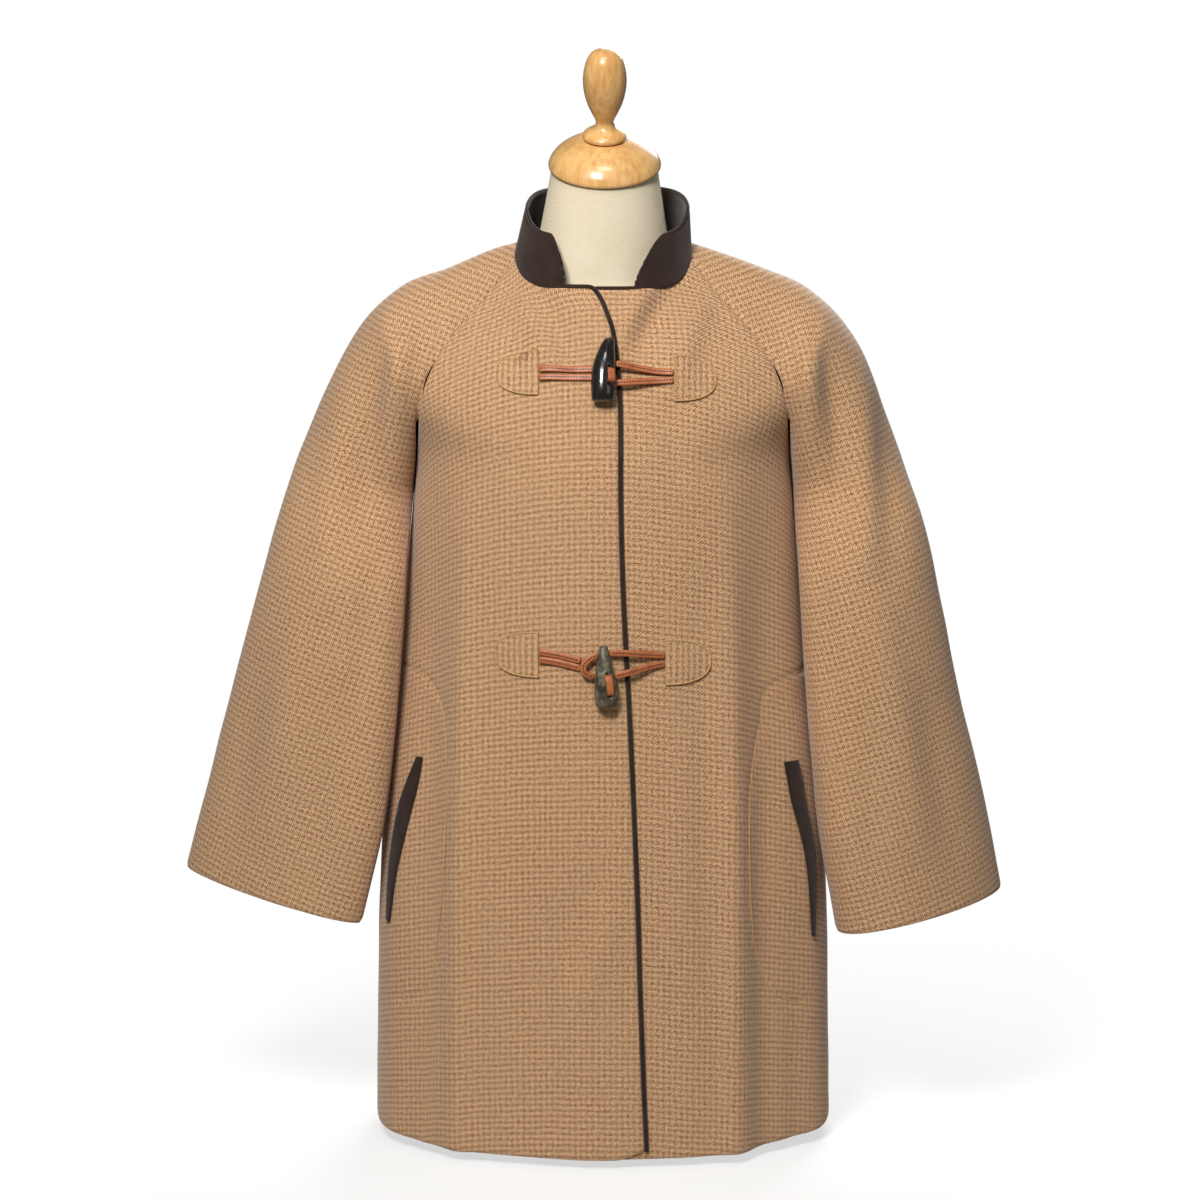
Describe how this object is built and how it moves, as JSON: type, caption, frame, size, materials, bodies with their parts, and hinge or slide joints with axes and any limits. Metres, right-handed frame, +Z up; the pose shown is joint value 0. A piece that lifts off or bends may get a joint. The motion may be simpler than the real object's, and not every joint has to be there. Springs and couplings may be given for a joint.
{
  "type": "cape coat on a dress form",
  "caption": "Check tweed cape coat with wide three-quarter raglan sleeves, stand collar and toggle fastenings, worn by a limbless dress form that stands on a round base.",
  "frame": {"origin": "middle of the stand's underside", "axes": "+Z up; the coat's front faces -Y, so the wearer's right is at -X"},
  "size_m": [0.786, 0.3311, 1.0359],
  "materials": {
    "tweed": "small check wool tweed, slightly napped",
    "brown_wool": "matt brushed wool",
    "leather": "satin, stitched edges",
    "horn": "polished black horn",
    "antler": "mottled raw antler",
    "form_cloth": "plain cotton, matt",
    "beech": "satin varnish",
    "stand_metal": "satin"
  },
  "bodies": {
    "root": {"antler_toggle": "antler", "back": "tweed", "collar": "brown_wool", "finial": "beech", "form_body": "form_cloth", "horn_toggle": "horn", "lap_piping": "brown_wool", "left_front": "tweed", "left_pocket_welt": "brown_wool", "left_sleeve": "tweed", "loop_bridge_lower": "leather", "loop_bridge_upper": "leather", "loop_knot": "leather", "loop_lower_left_a": "leather", "loop_lower_left_b": "leather", "loop_lower_right_a": "leather", "loop_lower_right_b": "leather", "loop_upper_left_a": "leather", "loop_upper_left_b": "leather", "loop_upper_right_a": "leather", "loop_upper_right_b": "leather", "neck_cap": "beech", "neck_piping": "brown_wool", "patch_lower_left": "tweed", "patch_lower_right": "tweed", "patch_upper_left": "tweed", "patch_upper_right": "tweed", "right_front": "tweed", "right_pocket_welt": "brown_wool", "right_sleeve": "tweed", "stand_base": "stand_metal", "stand_pole": "stand_metal"}
  },
  "joints": []
}
